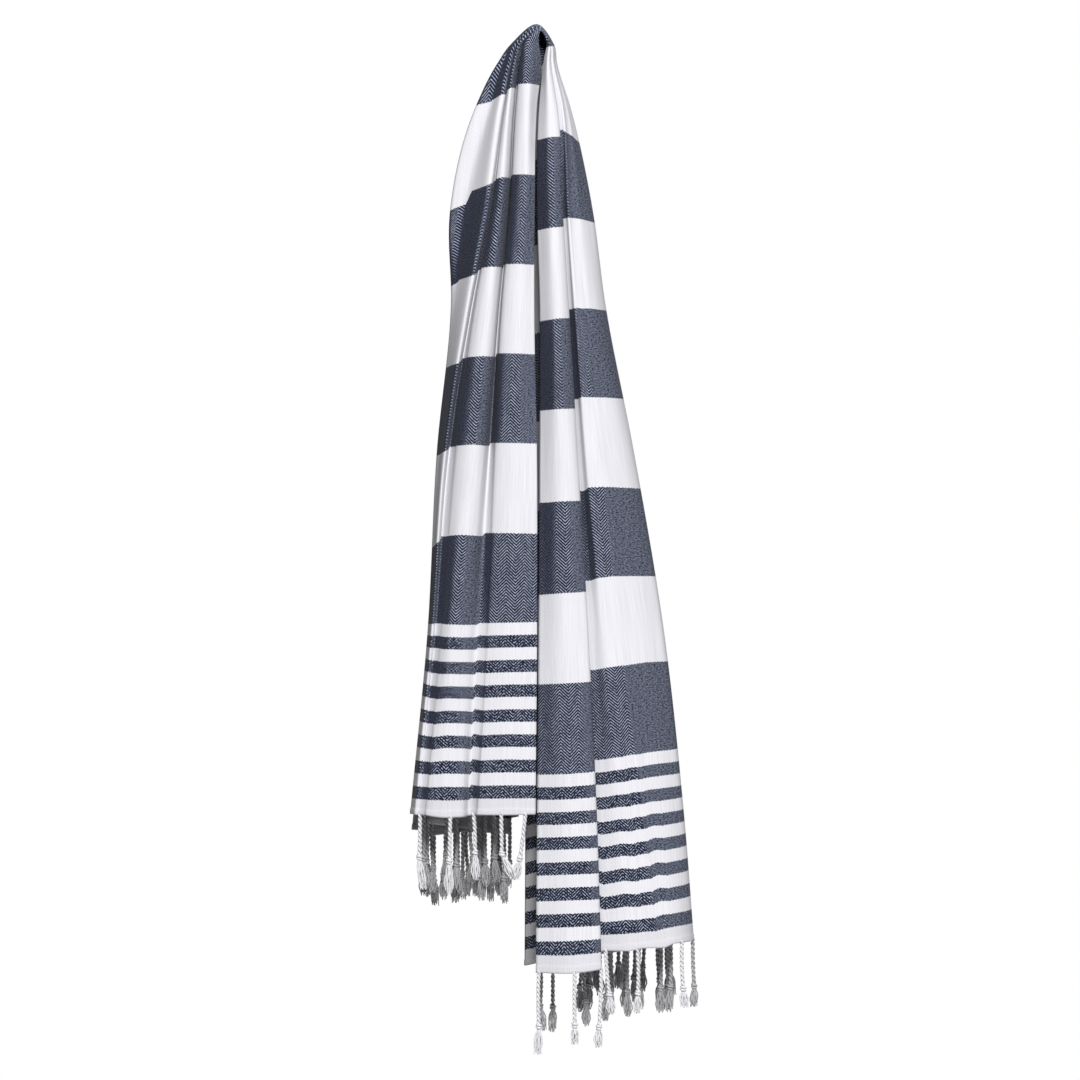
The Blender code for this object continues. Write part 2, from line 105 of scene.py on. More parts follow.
# How far the shoulders of each valley are spread into a soft dip, at each of RELIEF_DEPTHS.
SHORT_SOFTNESS = {"deep valley": (0, 0, 0.1, 0.7, 0.3), "side valley": (0, 0, 0.3, 0.8, 0.5)}
LONG_SOFTNESS = {"pleat": (0, 0, 0, 0, 0), "crease": (0.5, 1, 1, 1, 1)}
TUCK_WAY = 40.0              # way past the crown after which a tuck is full
TUCK_RADIUS = 2.2            # half the depth of the turn inside a tuck
BOTTOM_RADIUS = 1.4          # half the width of a valley's bottom
BOTTOM_SHARE = 0.15          # the same as a share of the way to the next crest, where that is less
SHOULDER_GAP = 2.6           # from a valley to the shoulders that drop into it, at most
NARROW_SHARE = 0.3           # the same as a share of the way to the crest, where that is less
SOFT_SHARE = 0.5             # the same share in a soft dip
SHOULDER_RISE = 0.72         # a shoulder's height over its valley, as a share of the crest's
SOFT_RISE = 0.5              # the same in a soft dip
TUCK_RISES = (0.55, 0.42)    # the same at a full tuck, on its inner side and its outer side
SIDE_DROP = 0.36             # a line on a roll's side, as a share of the drop from its shoulder
STEEP_SHARE = 0.3            # its way across for its way down in a steep valley; 1 in a soft dip
# How much of the change from a valley's inner side to its outer side is done at each of its five lines.
VALLEY_SHARES = (0, 0, 0.45, 0.55, 1)

# Each layer behind the front one ends in a turn, and the last one in the back selvedge.  One row for
# each: the drops of the short and the long hem there, and how many cords hang from the layer.
TURNS = (
    # name             drops       cords
    ("first inner",   (2, -4),     4),
    ("second outer",  (10, -26),   3),
    ("second inner",  (22, -24),   4),
    ("third outer",   (18, -30),   3),
    ("third inner",   (6, -34),    4),
    ("fourth outer",  (26, -38),   3),
    ("fourth inner",  (16, -44),   4),
    ("back selvedge", (22, -40),   4),
)
# An outer turn's x is a share of the front layer's outline, on the short fall and on the long one.
OUTER_TURNS = {
    "second outer": (0.93, 0.93),
    "third outer": (0.98, 0.86),
    "fourth outer": (0.90, 0.94),
    "back selvedge": (0.80, 0.72),
}
# An inner turn's x at each of INNER_DEPTHS, down the short fall and down the long one.  The first one of
# the long fall reaches past the middle and closes the slit between the falls; the peg ends behind it.
INNER_DEPTHS = (10, 28, 70, 171, 890)
INNER_TURNS = {
    "first inner": ((-12, -13, -16, -22, -46), (-7, -6.5, -9, -11, -16)),
    "second inner": ((-4.6, -5, -9, -18, -34), (4.4, 4.5, 2, 6, 30)),
    "third inner": ((-4.6, -5, -8, -16, -26), (4.4, 4.5, 1, 4, 40)),
    "fourth inner": ((-4.8, -5.5, -9, -19, -40), (4.6, 5, 3, 8, 46)),
}
# x and z of the inner turns at the crown: the first one passes in front of the peg, the others over it.
FIRST_INNER_CROWN = (-9.5, -2.5)
INNER_CROWN = (-1.2, 1)
# At the crown and at each of RELIEF_DEPTHS: the y of the layer behind the front one, and the spacing.
SECOND_LAYER_Y = (-5, -5.5, -6.2, -7, -7, -7)
LAYER_SPACING = (3.6, 3.9, 4.8, 5.8, 6.0, 6.0)
LAYER_WAVE = 2.0             # how far a layer bends to and fro, where it is wide
BACK_WAVE = 8.0              # the same for the last layer, which has nothing behind it
FULL_WAVE_WIDTH = 70.0
WAVE_SHARES = (0.3, 0.7)     # where on a layer the bends are
# The side to which a layer bends at its start, at the two WAVE_SHARES and at its end.
LAYER_BENDS = ((0, -1, 1, 0), (0, 1, -1, 0))
BACK_BENDS = (0, 1, 0, 0)
# The layers behind the front one also wave to and fro together, so that none of them meets the next.
HIDDEN_WAVE = 2.6
HIDDEN_WAVE_LENGTH = 31.0
HIDDEN_WAVE_DEPTHS = (60, 330)   # where the waves start, and where they are full
HIDDEN_WAVE_Y = (-12, 2)     # the same towards the wall, so that the front layer stays as it is
DRIFT = 1.4                  # radians that the waves wander to the side
DRIFT_LENGTH = 240.0         # way down for each radian of that wandering

# The crown, where the gathered cloth crosses the peg: first the inner selvedge, then the outer turn.
CROWN_X = (-2, -6.5)
CROWN_Z = (0.9, 8.4)
CROWN_Y = (-23, -8)
CROWN_REACH = 8.0            # added to a depth to get the way along the cloth from the crown
PAST_HEM = 60.0              # how far the lines run on past the lower hem

# ---- where the stripes cross the front folds ----
# The stripes' edges, as ways from the nearer hem on the flat cloth, and for each line of folds the
# depths below the hang point at which they cross it.  The gathers have let the folds slip past each
# other, so the stripes of one roll sit a little higher or lower than those of the next.
STRIPE_EDGES = (15, 183, 269, 355, 441, 527, 613, 699, 785, 871)
SHORT_STRIPES = (
    ("selvedge", (729.6, 562.4, 478.6, 393.1, 308.4, 223.2, 137.8, 50.8)),
    ("inner roll", (729.6, 562.9, 478.1, 392.7, 307.8, 222.9, 137.4, 50.4)),
    ("deep valley, inner side", (730.1, 563.4, 477.8, 392.4, 307.3, 222.5, 137.1, 50.4)),
    ("deep valley, outer side", (731.5, 565.1, 480.5, 395.0, 310.3, 225.3, 139.7, 53.8)),
    ("outer roll", (731.5, 564.8, 479.6, 394.1, 310.3, 225.1, 139.9, 54.6)),
    ("side valley", (731.0, 563.8, 481.2, 396.1, 311.6, 227.5, 142.5, 59.4)),
    ("side roll", (730.5, 564.3, 487.3, 400.2, 316.8, 233.1, 146.3, 60.3)),
    ("side edge, inner side", (730.7, 564.5, 490.2, 403.3, 319.2, 237.1, 152.5, 65.2)),
    ("side edge, outer side", (730.7, 564.5, 490.2, 403.3, 319.4, 238.9, 163.8, 66.0)),
    ("outer turn", (731.0, 564.8, 491.9, 403.9, 319.8, 242.2, 169.8, 69.2)),
)
LONG_STRIPES = (
    ("selvedge", (878.9, 707.5, 621.8, 536.8, 449.3, 361.8, 276.7, 190.0, 103.7, 15.2)),
    ("inner roll", (878.0, 706.3, 620.4, 534.9, 447.9, 360.5, 274.8, 188.1, 101.8, 14.5)),
    ("pleat, inner side", (875.5, 704.1, 618.9, 533.6, 447.3, 359.8, 273.7, 186.8, 100.9, 14.1)),
    ("pleat, outer side", (859.5, 693.5, 608.0, 523.3, 437.8, 350.7, 265.0, 178.5, 93.8, 13.8)),
    ("broad roll", (857.8, 691.1, 605.6, 520.6, 434.6, 348.9, 264.0, 178.1, 95.9, 13.3)),
    ("crease", (855.9, 688.3, 603.7, 519.0, 434.1, 349.1, 264.4, 178.4, 97.4, 13.3)),
    ("side roll", (852.6, 685.7, 600.9, 518.9, 434.6, 349.1, 264.4, 178.9, 99.3, 13.3)),
    ("side edge, inner side", (851.2, 684.8, 600.6, 519.1, 435.1, 349.6, 265.1, 180.5, 102.6, 13.8)),
    ("side edge, outer side", (851.2, 684.8, 600.6, 519.1, 435.1, 349.6, 265.1, 180.5, 102.6, 13.8)),
    ("outer turn", (850.5, 684.0, 600.4, 519.2, 435.4, 349.8, 265.5, 181.4, 104.9, 15.2)),
)
# The rows of the two tables, from 0, that hold at the start and at the end of each step from line to
# line; a place between two rows stands for a mix of both.
STRIPE_STEPS = ((0, 1), (1, 2), (2, 2), (2, 2), (2, 3), (3, 3), (3, 4), (4, 4.5), (4.5, 4.8),
                (4.8, 5), (5, 5), (5, 5.5), (5.5, 6), (6, 7), (8, 9), (9, 9))

# ---- mesh density ----
# Cells between one line of a section and the next.
FRONT_CELLS = (12, 8, 4, 4, 4, 4, 8, 8, 4, 4, 4, 4, 4, 6, 6, 8)
LAYER_CELLS = (3, 6, 3, 6)
ALL_CELLS = FRONT_CELLS + LAYER_CELLS * len(TURNS)
FRONT_COLUMNS = sum(FRONT_CELLS)
WAY_SAMPLES = 481
EVEN_PART = 0.25             # of the samples' spacing; the rest of it grows from the crown
SHELTER_CELLS = 6            # from a turn to where a layer is fully inside the bundle
CROWN_ROW = 2.0              # way from row to row at the crown
ROW_GROWTH = 0.06            # how much longer it gets for each millimetre of way
FALL_ROW = 11.0              # the longest it gets
# Ways up from the hem's edge where the last rows are, close together round the fold of the hem.
HEM_ROWS = (19, 15.5, 12, 9, 7, 5.9, 5.1, 3.6, 1.8, 0)


# ---------------------------------------------------------------- the folded cloth

def smooth_through(knots, values, places):
    """A smooth curve through values at knots, read at places; it runs on straight past both ends."""
    knots = np.asarray(knots, float)
    values = np.asarray(values, float)
    steps = np.diff(knots)
    rises = np.diff(values) / steps
    slopes = np.empty(len(values))
    slopes[0] = rises[0]
    slopes[-1] = rises[-1]
    slopes[1:-1] = (rises[:-1] * steps[1:] + rises[1:] * steps[:-1]) / (steps[:-1] + steps[1:])
    inside = np.clip(places, knots[0], knots[-1])
    spot = np.clip(np.searchsorted(knots, inside, side="right") - 1, 0, len(steps) - 1)
    width = steps[spot]
    u = (inside - knots[spot]) / width
    start, end = values[spot], values[spot + 1]
    curve = ((2 * u**3 - 3 * u**2 + 1) * start + (u**3 - 2 * u**2 + u) * slopes[spot] * width
             + (3 * u**2 - 2 * u**3) * end + (u**3 - u**2) * slopes[spot + 1] * width)
    return curve + np.where(places < knots[0], places - knots[0], 0) * slopes[0] \
        + np.where(places > knots[-1], places - knots[-1], 0) * slopes[-1]


def ways():
    """Ways along the cloth, past both hems: below 0 on the short fall and above 0 on the long one."""
    reach = LONG_HEM_DEPTH + PAST_HEM
    even = np.linspace(-1, 1, WAY_SAMPLES)
    return np.sign(even) * reach * (EVEN_PART * np.abs(even) + (1 - EVEN_PART) * even**2)


WAYS = ways()
MIDDLE = WAY_SAMPLES // 2


def knots_at(depths):
    """The ways to some depths on both falls, with the crown's between them."""
    return [-depth - CROWN_REACH for depth in reversed(depths)] + [0] + [d + CROWN_REACH for d in depths]


WAY_KNOTS = knots_at(DEPTHS)


def along(short, crown, long, knots=WAY_KNOTS):
    """A value over all the ways, from those down the short fall, at the crown and down the long one."""
    return smooth_through(knots, list(reversed(short)) + [crown] + list(long), WAYS)


def line(x, y, crown_z):
    """A line along the cloth as an array of points."""
    falls = [-depth for depth in DEPTHS]
    return np.stack([x, y, along(falls, crown_z, falls)], axis=1)


def mix(first, second, share):
    return first + share * (second - first)


def ease(low, high, value):
    """0 below low, 1 above high and a soft step between."""
    share = np.clip((value - low) / (high - low), 0, 1)
    return share * share * (3 - 2 * share)


def front_lines():
    """The lines of the front layer, with a shoulder on each side of each valley."""
    count = len(SHORT_FALL)
    mains = []
    for place, (short, long) in enumerate(zip(SHORT_FALL, LONG_FALL)):
        share = place / (count - 1)
        x = along(short[2], mix(*CROWN_X, share), long[2])
        y = along(short[3], mix(*CROWN_Y, share), long[3], knots_at(RELIEF_DEPTHS))
        mains.append(line(x, y, mix(*CROWN_Z, share)))
    lines = []
    past_crown = np.clip(WAYS / TUCK_WAY, 0, 1)
    for place, points in enumerate(mains):
        if SHORT_FALL[place][1] != "valley":
            lines.append(points)
            continue
        inner, outer = mains[place - 1], mains[place + 1]
        tuck = TUCKS[LONG_FALL[place][0]] * past_crown
        soft = along(SHORT_SOFTNESS[SHORT_FALL[place][0]], 0, LONG_SOFTNESS[LONG_FALL[place][0]],
                     knots_at(RELIEF_DEPTHS))
        rise = mix(SHOULDER_RISE, SOFT_RISE, soft)
        bottom = points.copy()
        bottom[:, 0] += tuck * (inner[:, 0] - points[:, 0])
        top = shoulder(points, inner, soft, mix(rise, TUCK_RISES[0], tuck))
        floor = rounded(bottom, tuck, inner, 1)
        side = mix(top, floor, SIDE_DROP)
        side[:, 0] = mix(top[:, 0], floor[:, 0], SIDE_DROP * mix(STEEP_SHARE * (1 - tuck), 1, soft))
        lines += [top, side, floor, rounded(bottom, tuck, outer, -1),
                  shoulder(points, outer, soft, mix(rise, TUCK_RISES[1], tuck))]
    return lines


def hem_drops():
    """How much lower than at the selvedge each hem is at each line of the front layer."""
    drops = []
    for short, long in zip(SHORT_FALL, LONG_FALL):
        if short[1] != "valley":
            drops.append((short[4], long[4]))
            continue
        drops += [(mix(*short[4], share), mix(*long[4], share)) for share in VALLEY_SHARES]
    return drops


def rounded(bottom, tuck, crest, side):
    """One of the two lines that round a valley's bottom; in a tuck one lies in front of the other."""
    apart = np.linalg.norm(crest - bottom, axis=1)
    share = np.minimum(BOTTOM_SHARE, BOTTOM_RADIUS / apart) * (1 - tuck)
    points = mix(bottom, crest, share[:, None])
    points[:, 1] -= side * tuck * TUCK_RADIUS
    return points


def shoulder(valley, crest, soft, rise):
    """The line where a roll starts to drop into a valley; soft spreads it out and rise is its height."""
    offset = crest[:, 0] - valley[:, 0]
    gap = mix(np.minimum(SHOULDER_GAP, NARROW_SHARE * np.abs(offset)), SOFT_SHARE * np.abs(offset), soft)
    points = valley + NARROW_SHARE * (crest - valley)
    points[:, 0] = valley[:, 0] + np.sign(offset) * gap
    points[:, 1] = mix(valley[:, 1], crest[:, 1], rise)
    return points


def turn_line(name, front):
    """The x of a turn over all the ways, and its height at the crown."""
    if name in OUTER_TURNS:
        short, long = OUTER_TURNS[name]
        others = len(DEPTHS) - 1
        share = along([1] + [short] * others, 1, [1] + [long] * others)
        return mix(front[0][:, 0], front[-1][:, 0], share), CROWN_Z[1]
    crown_x, crown_z = FIRST_INNER_CROWN if name == "first inner" else INNER_CROWN
    short, long = INNER_TURNS[name]
    return along(short, crown_x, long, knots_at(INNER_DEPTHS)), crown_z


def layer_y(number):
    """The middle distance of a layer over all the ways; the first one behind the front is number 0."""
    values = [second + number * spacing for second, spacing in zip(SECOND_LAYER_Y, LAYER_SPACING)]
    return along(values[1:], values[0], values[1:], knots_at(RELIEF_DEPTHS))


def section_lines():
    """All the lines along the cloth in order, with the two hems' drops and the cells after each."""
    front = front_lines()
    lines = list(front)
    drops = hem_drops()
    start_x, start_crown, start_drops = front[-1][:, 0], CROWN_Z[1], drops[-1]
    for number, (name, end_drops, cords) in enumerate(TURNS):
        end_x, end_crown = turn_line(name, front)
        is_back = number == len(TURNS) - 1
        width = np.abs(end_x - start_x)
        wave = (BACK_WAVE if is_back else LAYER_WAVE) * np.minimum(1, (width / FULL_WAVE_WIDTH) ** 2)
        bends = BACK_BENDS if is_back else LAYER_BENDS[number % 2]
        for share, bend in zip((0, *WAVE_SHARES, 1), bends):
            lines.append(line(mix(start_x, end_x, share), layer_y(number) + bend * wave,
                              mix(start_crown, end_crown, share)))
            drops.append([mix(*pair, share) for pair in zip(start_drops, end_drops)])
        start_x, start_crown, start_drops = end_x, end_crown, end_drops
    return lines, drops, ALL_CELLS[:len(lines) - 1]


def fold_between(before, start, end, after, share):
    """A point on the smooth curve that runs through four lines, for each way along the cloth."""
    gaps = [np.sqrt(np.linalg.norm(second - first, axis=1)) + 1e-6
            for first, second in ((before, start), (start, end), (end, after))]
    t0 = np.zeros(len(gaps[0]))
    t1 = t0 + gaps[0]
    t2 = t1 + gaps[1]
    t3 = t2 + gaps[2]
    t = mix(t1, t2, share)

    def blend(a, b, ta, tb):
        return a + (b - a) * ((t - ta) / (tb - ta))[:, None]

    a1, a2, a3 = blend(before, start, t0, t1), blend(start, end, t1, t2), blend(end, after, t2, t3)
    b1, b2 = blend(a1, a2, t0, t2), blend(a2, a3, t1, t3)
    return blend(b1, b2, t1, t2)


def columns():
    """The cloth's columns, from the front selvedge to the back one, and each one's hem depths."""
    lines, drops, cells = section_lines()
    ahead = [2 * lines[0] - lines[1]] + lines + [2 * lines[-1] - lines[-2]]
    points, hems = [], []
    for place, count in enumerate(cells):
        for cell in range(count):
            share = cell / count
            points.append(fold_between(*ahead[place:place + 4], share))
            hems.append([mix(*pair, share) for pair in zip(drops[place], drops[place + 1])])
    points.append(lines[-1])
    hems.append(drops[-1])
    return np.array(points), np.array(hems) + (SHORT_HEM_DEPTH, LONG_HEM_DEPTH)


def row_places(end):
    """Ways from the crown to each row of a fall whose way to the hem is end."""
    places = [0.0]
    while places[-1] + FALL_ROW < end - HEM_ROWS[0] - 0.5 * FALL_ROW:
        places.append(places[-1] + min(FALL_ROW, CROWN_ROW + ROW_GROWTH * places[-1]))
    return places + [end - up for up in HEM_ROWS]


class Cloth:
    """The folded cloth: rows of points in millimetres, and where each point was on the flat cloth."""

    def __init__(self):
        self.columns, hems = columns()
        steps = np.linalg.norm(np.diff(self.columns, axis=1), axis=2)
        lengths = np.concatenate([np.zeros((len(steps), 1)), np.cumsum(steps, axis=1)], axis=1)
        self.lengths = lengths - lengths[:, MIDDLE:MIDDLE + 1]
        self.short = np.array([self.length_at("short", place, hem[0]) for place, hem in enumerate(hems)])
        self.long = np.array([self.length_at("long", place, hem[1]) for place, hem in enumerate(hems)])
        short_rows = row_places(-self.short.mean())
        long_rows = row_places(self.long.mean())
        shares = [-place / short_rows[-1] for place in reversed(short_rows[1:])]
        shares += [place / long_rows[-1] for place in long_rows]
        self.ways = np.array([abs(share) * (self.short if share < 0 else self.long) for share in shares])
        self.rows = np.stack([self.column_points(place) for place in range(len(self.columns))], axis=1)
        self.lengthwise = self.flat_ways()

    def length_at(self, fall, column, depth):
        """The length of a column from the crown to a depth on one fall, below 0 on the short one."""
        z, lengths = self.columns[column, :, 2], self.lengths[column]
        if fall == "short":
            return np.interp(-depth, z[:MIDDLE], lengths[:MIDDLE])
        return np.interp(depth, -z[MIDDLE:], lengths[MIDDLE:])

    def column_points(self, column):
        """The points of one column, at each row."""
        ways_down, lengths = self.ways[:, column], self.lengths[column]
        return np.stack([np.interp(ways_down, lengths, self.columns[column, :, axis])
                         for axis in range(3)], axis=1)

    def flat_ways(self):
        """Where each point was along the flat cloth, from the short hem.  In the front layer it follows
        the tables of the stripes; behind it, each column is spread evenly from hem to hem."""
        even = (self.ways - self.short) / (self.long - self.short) * CLOTH_LENGTH
        flat = even.copy()
        place = 0
        for (first, second), count in zip(STRIPE_STEPS, FRONT_CELLS):
            for cell in range(count):
                flat[:, place] = self.striped(place, first, second, cell / count)
                place += 1
        flat[:, place] = self.striped(place, second, second, 0)
        apart = flat[:, place] - even[:, place]
        fading = sum(LAYER_CELLS)
        for step in range(1, fading):
            flat[:, place + step] += apart * (1 - ease(0, 1, step / fading))
        return flat

    def striped(self, column, first, second, share):
        """The flat ways of a front column between two lines of the stripe tables."""
        short, long = [mix(stripe_row(table, first), stripe_row(table, second), share)
                       for table in (SHORT_STRIPES, LONG_STRIPES)]
        knots = [self.short[column]] + [self.length_at("short", column, depth) for depth in short]
        flat = [0.0, *STRIPE_EDGES[:len(short)]]
        knots += [self.length_at("long", column, depth) for depth in reversed(long)] + [self.long[column]]
        flat += [CLOTH_LENGTH - way for way in reversed(STRIPE_EDGES[:len(long)])] + [CLOTH_LENGTH]
        return smooth_through(knots, flat, self.ways[:, column])


def stripe_row(table, place):
    """The depths in a row of a stripe table; a place between two rows gives a mix of both."""
    row = int(place)
    following = min(row + 1, len(table) - 1)
    return mix(np.array(table[row][1]), np.array(table[following][1]), place - row)


def crosswise(rows):
    """Where each point was across the flat cloth.  It is measured from the crest of its roll, and what
    the gathered neck has no room for is missing in the valleys and at the inner turns, out of sight."""
    steps = np.linalg.norm(np.diff(rows, axis=1), axis=2)
    arcs = np.concatenate([np.zeros((len(steps), 1)), np.cumsum(steps, axis=1)], axis=1)
    line_at = np.concatenate([[0], np.cumsum(ALL_CELLS)])
    # The lines of each roll's crest or outer turn, and of the valley floor or inner turn after it.
    behind = len(FRONT_CELLS)
    last = rows.shape[1] - 1
    crests = [*line_at[[1, 7, 13, behind + 8, behind + 16, behind + 24]], last]
    floors = [*line_at[[4, 10, behind + 4, behind + 12, behind + 20, behind + 28]], last]
    widest = arcs.max(axis=0)
    flat = widest * CLOTH_WIDTH / widest[-1]
    across = np.empty_like(arcs)
    start = 0
    for crest, floor in zip(crests, floors):
        part = slice(start, floor + 1)
        across[:, part] = flat[crest] + arcs[:, part] - arcs[:, crest:crest + 1]
        start = floor + 1
    return across


def hidden_waves(rows):
    """Moves the layers behind the front one towards the wall and back, in soft upright folds."""
    x, y, z = rows[:, :, 0], rows[:, :, 1], rows[:, :, 2]
    wave = np.sin(2 * math.pi * x / HIDDEN_WAVE_LENGTH + DRIFT * np.sin(z / DRIFT_LENGTH))
    y += HIDDEN_WAVE * wave * ease(*HIDDEN_WAVE_DEPTHS, -z) * ease(*HIDDEN_WAVE_Y, y)


def grid_object(name, rows):
    """A sheet from rows of points in millimetres, started from Blender's own grid."""
    down, across = rows.shape[:2]
    bpy.ops.object.select_all(action="DESELECT")
    bpy.ops.mesh.primitive_grid_add(x_subdivisions=across - 1, y_subdivisions=down - 1, size=2)
    sheet = bpy.context.active_object
    sheet.name = name
    sheet.data.name = name
    flat = np.empty(len(sheet.data.vertices) * 3)
    sheet.data.vertices.foreach_get("co", flat)
    flat = flat.reshape(-1, 3)
    column = np.rint((flat[:, 0] + 1) / 2 * (across - 1)).astype(int)
    row = np.rint((flat[:, 1] + 1) / 2 * (down - 1)).astype(int)
    sheet.data.vertices.foreach_set("co", (rows[row, column] * MM).ravel())
    sheet.data.update()
    return sheet, row, column


def turned_sideways(rows):
    """How far each point of the cloth looks to the side: -1 is to the left and 1 to the right."""
    across = np.gradient(rows, axis=1)
    down = np.gradient(rows, axis=0)
    normals = np.cross(across, down)
    normals /= np.linalg.norm(normals, axis=2, keepdims=True) + 1e-9
    outward = np.where(normals[:, :, 1] > 0, -1, 1)
    return normals[:, :, 0] * outward


def sheltered_columns(count):
    """How deep inside the bundle each column lies: 1 in the layers between the front and the back one,
    and less towards their outer turns, which show at the sides."""
    places = np.arange(count)
    layer = sum(LAYER_CELLS)
    back = FRONT_COLUMNS + (len(TURNS) - 1) * layer
    from_turn = np.min([np.abs(places - turn) for turn in range(FRONT_COLUMNS, back, 2 * layer)], axis=0)
    inside = np.clip(from_turn / SHELTER_CELLS, 0, 1) * np.clip((back - places) / SHELTER_CELLS, 0, 1)
    return np.where(places > FRONT_COLUMNS, inside, 0)


def make_cloth(cloth):
    """The towel's sheet, with what its material reads: where each point was on the flat cloth, how far
    it is turned to the side and how sheltered it is."""
    rows = cloth.rows.copy()
    across = crosswise(rows)
    hidden_waves(rows)
    sheet, row, column = grid_object("towel_cloth", rows)
    corner = np.empty(len(sheet.data.loops), int)
    sheet.data.loops.foreach_get("vertex_index", corner)
    places = np.stack([across[row, column], cloth.lengthwise[row, column]], axis=1) * MM
    sheet.data.uv_layers[0].name = "cut"
    sheet.data.uv_layers[0].data.foreach_set("uv", places[corner].ravel())
    for name, values in (("turned", turned_sideways(rows)[row, column]),
                         ("sheltered", sheltered_columns(rows.shape[1])[column])):
        attribute = sheet.data.attributes.new(name, "FLOAT", "POINT")
        attribute.data.foreach_set("value", values)
    thickness = sheet.vertex_groups.new(name="thickness")
    to_hem = np.minimum(cloth.lengthwise, CLOTH_LENGTH - cloth.lengthwise)[row, column]
    for chosen, weight in ((to_hem > HEM_FOLD, CLOTH_THICKNESS / HEM_THICKNESS), (to_hem <= HEM_FOLD, 1.0)):
        thickness.add([int(index) for index in np.flatnonzero(chosen)], weight, "REPLACE")
    solidify = sheet.modifiers.new("thickness", "SOLIDIFY")
    solidify.thickness = HEM_THICKNESS * MM
    solidify.offset = 0
    solidify.vertex_group = "thickness"
    bpy.ops.object.modifier_apply(modifier="thickness")
    bpy.ops.object.shade_smooth()
    return sheet


# ---------------------------------------------------------------- the fringes

# The cords that show in front, one row each: x at the hem, the way down to the knot and the way from
# there to the tuft's end, and how far the knot and the tuft's end stand off to the right.
SHORT_FRONT_CORDS = (
    # x      cord  tuft  knot   end
    (-117,   40,   31,   -0.7,  3.5),
    (-88,    41,   33,   -1.0,  -1.5),
    (-65.5,  36,   26,   1.2,   2.5),
    (-39.5,  37,   24,   0.6,   11.5),
    (-16,    42,   20,   -5.0,  -9.5),
)
LONG_FRONT_CORDS = (
    (-3.0,   51,   27,   0.0,   -1.0),
    (31.7,   49,   19,   0.0,   0.0),
    (56.0,   55,   20,   -2.0,  -2.5),
    (59.0,   42,   19,   3.5,   5.5),
    (89.8,   42,   19,   0.3,   -0.8),
    (132.0,  44,   18,   1.2,   2.5),
    (144.0,  43,   20,   1.4,   0.5),
)
FRINGES = {
    # fall: its front cords, and the phase of its cords' unevenness
    "short": (SHORT_FRONT_CORDS, 0.4),
    "long": (LONG_FRONT_CORDS, 1.9),
}
FRONT_BOW = 0.8              # how far a front cord bows to one side, at most
# The cords behind them: way down to the knot, from there to the tuft's end, and how uneven they are.
HIDDEN_CORD = (42, 24)
HIDDEN_UNEVENNESS = 0.08     # of the way down to the knot
HIDDEN_KNOT_SHIFT = 2.0
HIDDEN_END_SHIFT = 2.5       # past the knot's
HIDDEN_BOW = 1.2
PLY_RADIUS = 1.15
PLY_START = 0.75             # share of its radius that a ply has in the hem
PLY_SWELL = 5.0              # way after which it has all of it
PLY_OFFSET = 1.05            # from the middle of the cord to the middle of a ply
PLY_STEPS = 30
TWIST_LENGTH = 9.0           # for one full turn of the two plies
INSIDE_HEM = 2.5             # how far up in the hem a cord starts
INSIDE_KNOT = 2.0            # how far past the knot's middle its plies end
KNOT_THREAD = 1.25
KNOT_TURNS = 2.0
KNOT_LENGTH = 5.0
KNOT_RADIUS = 2.2
KNOT_STEPS = 16
TUFT_THREADS = 13
TUFT_THREAD_RADIUS = 0.62
TUFT_NECK = 1.2
TUFT_WIDTH = 4.3
TUFT_STEPS = 7
TUFT_UNEVENNESS = 0.16       # of the threads' lengths
TUFT_CURL = 0.5
FLATNESS = 0.6               # a tuft's depth for its width
SEEN_HEM_Y = -30             # behind this, the front layer's hem seldom shows


def sway(number, phase):
    """A steady but uneven value between -1 and 1 for each tassel."""
    return math.sin(2.4 * number + phase) * math.cos(1.3 * number + 2 * phase)


def cord_axis(root, cord, tuft, knot_shift, end_shift, bow, share):
    """The middle line of a tassel, at a share of its way from the hem to the tuft's end."""
    whole = cord + tuft
    down = share * whole
    knot = cord / whole
    if share < knot:
        part = share / knot
        x = knot_shift * part**1.5 + bow * math.sin(math.pi * part)
    else:
        part = (share - knot) / (1 - knot)
        x = mix(knot_shift, end_shift, part)
    return Vector((root[0] + x, root[1] + 0.4 * bow * math.sin(3 * share), root[2] - down))


def add_thread(curve, points, radii):
    """Adds a thread through points, with a radius at each."""
    thread = curve.splines.new("POLY")
    thread.points.add(len(points) - 1)
    for spot, point, radius in zip(thread.points, points, radii):
        spot.co = (*(value * MM for value in point), 1)
        spot.radius = radius
    thread.use_smooth = True


